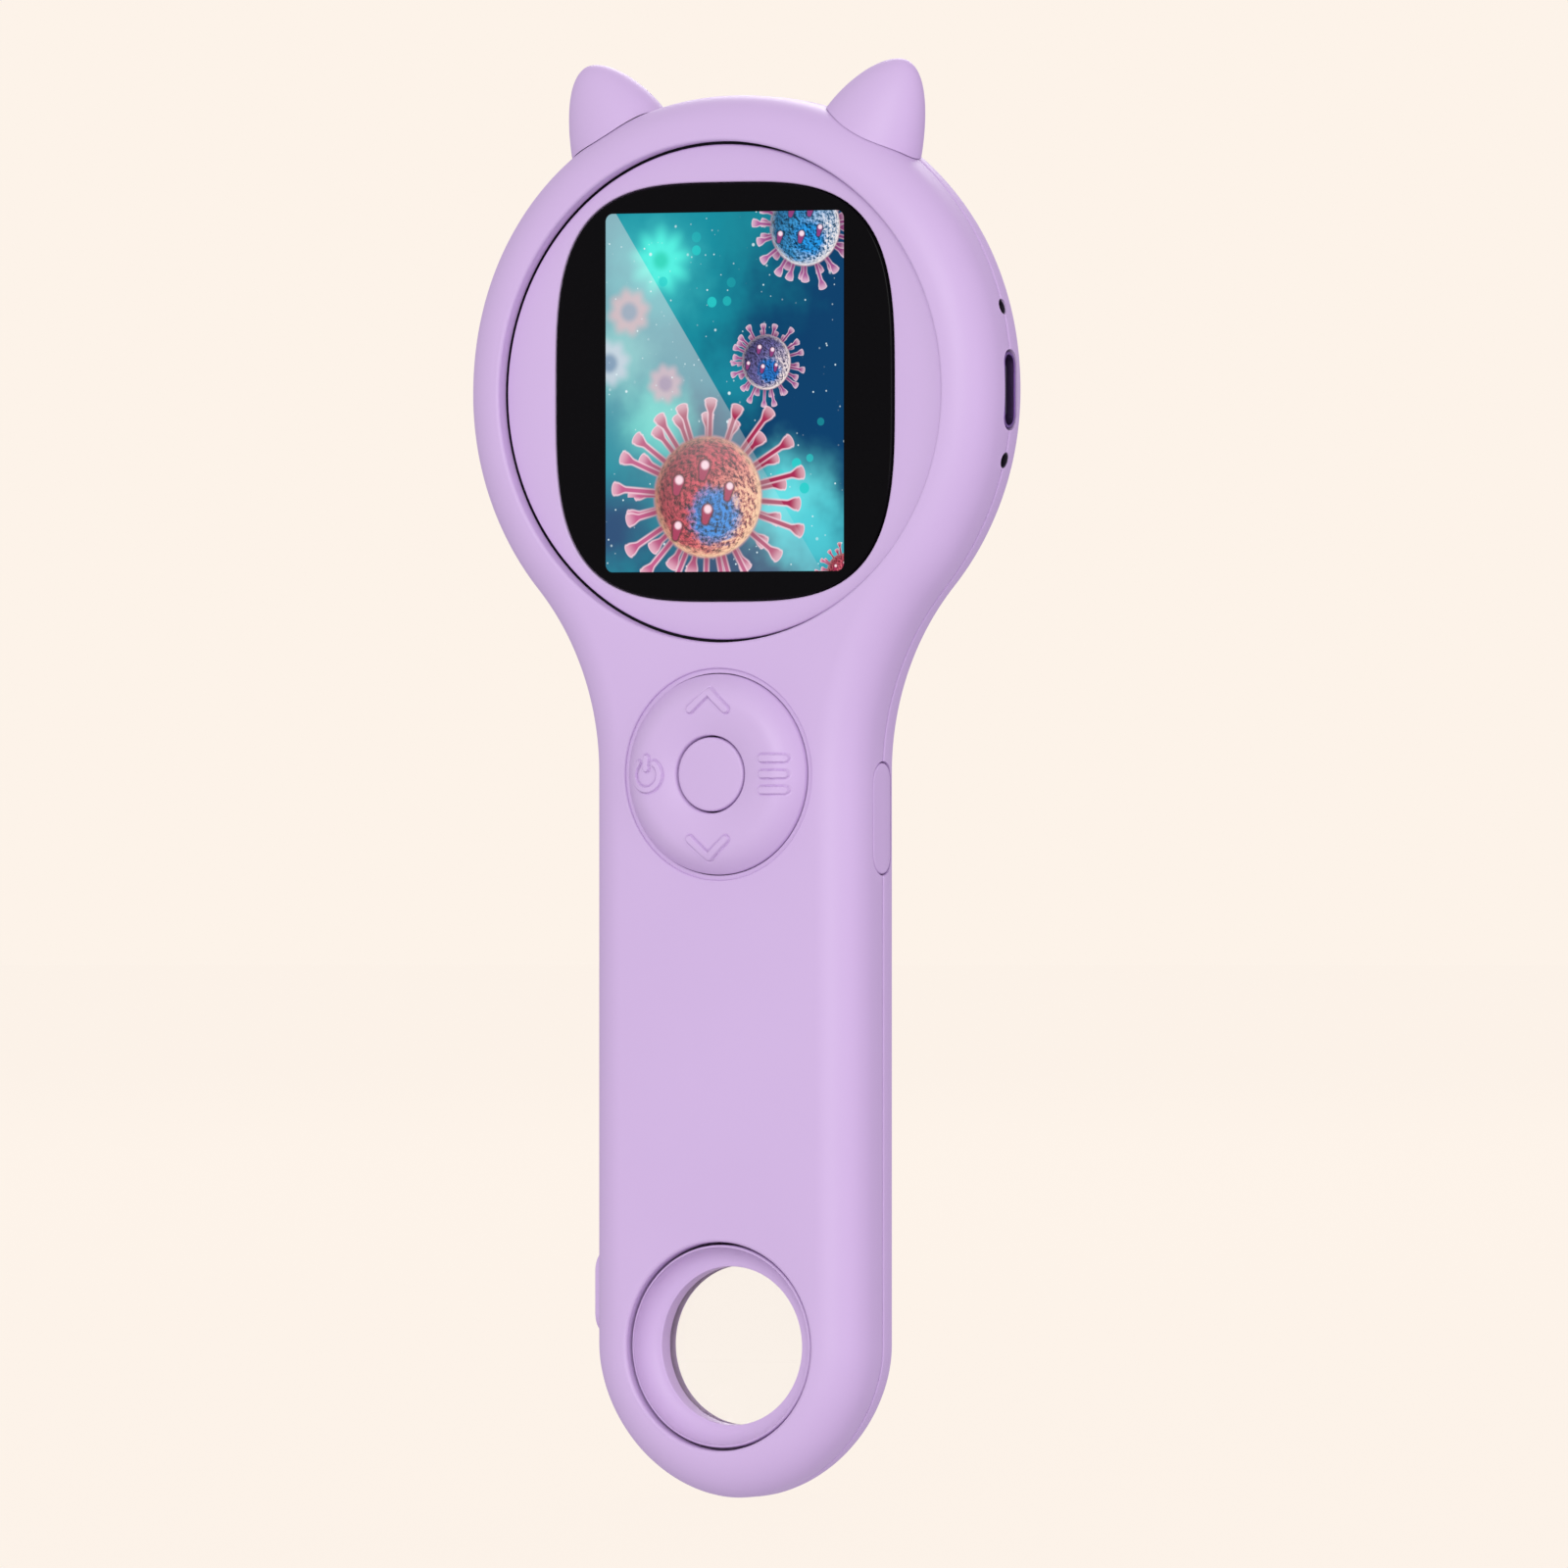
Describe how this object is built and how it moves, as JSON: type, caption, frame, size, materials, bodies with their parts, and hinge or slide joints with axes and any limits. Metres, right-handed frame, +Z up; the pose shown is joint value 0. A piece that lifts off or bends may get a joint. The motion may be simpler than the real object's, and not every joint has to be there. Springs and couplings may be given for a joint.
{
  "type": "handheld digital microscope",
  "caption": "Child's handheld digital microscope: round head with ears and a colour display, direction keys on the handle, and a magnifier in the handle's end.",
  "frame": {"origin": "middle of the hand's grip on the handle, on the case's parting plane", "axes": "+Z up the handle to the head, the display faces -Y, the port is on the +X side"},
  "size_m": [0.0678, 0.0312, 0.1632],
  "materials": {
    "lilac_plastic": "soft satin lilac",
    "window_glass": "black printed border under gloss",
    "display_glass": "lit display glass",
    "black_plastic": "black moulded",
    "steel": "plain steel",
    "board_green": "solder mask",
    "board_white": "white solder mask",
    "ribbon": "amber film",
    "rubber_grey": "silicone",
    "clear_plastic": "clear acrylic",
    "diffuser": "frosted acrylic",
    "lamp": "lamp resin",
    "battery_foil": "pouch foil",
    "white_plastic": "moulded nylon",
    "sensor": "sensor glass"
  },
  "bodies": {
    "case": {"battery": "battery_foil", "battery_connector": "white_plastic", "board_ribbon": "ribbon", "camera_tube": "black_plastic", "case_screw_1": "steel", "case_screw_2": "steel", "case_screw_3": "steel", "case_screw_4": "steel", "clear_hood": "clear_plastic", "display_bracket": "black_plastic", "display_panel": "display_glass", "display_shield": "steel", "display_surround": "lilac_plastic", "display_window": "window_glass", "ear_left": "lilac_plastic", "ear_right": "lilac_plastic", "front_shell": "lilac_plastic", "image_sensor": "sensor", "key_board": "board_green", "lamp_1": "lamp", "lamp_2": "lamp", "lamp_3": "lamp", "lamp_4": "lamp", "lamp_5": "lamp", "lamp_6": "lamp", "lamp_board": "board_white", "lamp_diffuser": "diffuser", "left_key_switch": "steel", "light_pipe": "clear_plastic", "magnifier_lens": "clear_plastic", "magnifier_ring": "lilac_plastic", "main_board": "board_green", "processor": "black_plastic", "rear_shell": "lilac_plastic", "right_key_switch": "steel", "switch_down": "steel", "switch_left": "steel", "switch_middle": "steel", "switch_right": "steel", "switch_up": "steel", "usb_socket": "steel"},
    "rubber_pad": {"rubber_pad": "rubber_grey"},
    "direction_ring": {"direction_ring": "lilac_plastic"},
    "middle_key": {"middle_key": "lilac_plastic"},
    "right_key": {"right_key": "lilac_plastic"},
    "left_key": {"left_key": "lilac_plastic"},
    "reset_plunger": {"reset_plunger": "black_plastic"},
    "focus_ring": {"focus_ring": "lilac_plastic"},
    "lens_barrel": {"lens_barrel": "black_plastic", "objective_lens": "clear_plastic"}
  },
  "joints": [
    {"name": "direction_rock_up_down", "type": "hinge", "parent": "case", "child": "rubber_pad", "pos_m": [0, -0.0038, 0.0326], "axis": [1, 0, 0], "range_deg": [-1.3, 1.3], "stiffness_Nm_per_rad": 0.2},
    {"name": "direction_rock_left_right", "type": "hinge", "parent": "rubber_pad", "child": "direction_ring", "pos_m": [0, -0.0038, 0.0326], "axis": [0, 0, 1], "range_deg": [-1.3, 1.3], "stiffness_Nm_per_rad": 0.2},
    {"name": "middle_key_press", "type": "slide", "parent": "case", "child": "middle_key", "axis": [0, 1, 0], "range_m": [0, 0.0004], "stiffness_N_per_m": 400},
    {"name": "right_key_press", "type": "slide", "parent": "case", "child": "right_key", "axis": [-1, 0, 0], "range_m": [0, 0.00035], "stiffness_N_per_m": 400},
    {"name": "left_key_press", "type": "slide", "parent": "case", "child": "left_key", "axis": [1, 0, 0], "range_m": [0, 0.0005], "stiffness_N_per_m": 400},
    {"name": "reset_press", "type": "slide", "parent": "case", "child": "reset_plunger", "axis": [-1, 0, 0], "range_m": [0, 0.0003], "stiffness_N_per_m": 400},
    {"name": "focus_turn", "type": "hinge", "parent": "case", "child": "focus_ring", "pos_m": [0, 0.0078, 0.076], "axis": [0, 1, 0], "range_deg": [-120, 120]},
    {"name": "barrel_slide", "type": "slide", "parent": "case", "child": "lens_barrel", "axis": [0, 1, 0], "range_m": [-0.0012, 0.0012]}
  ],
  "couplings": [
    {"joint": "barrel_slide", "follows": "focus_turn", "m_per_rad": 0.00057}
  ]
}
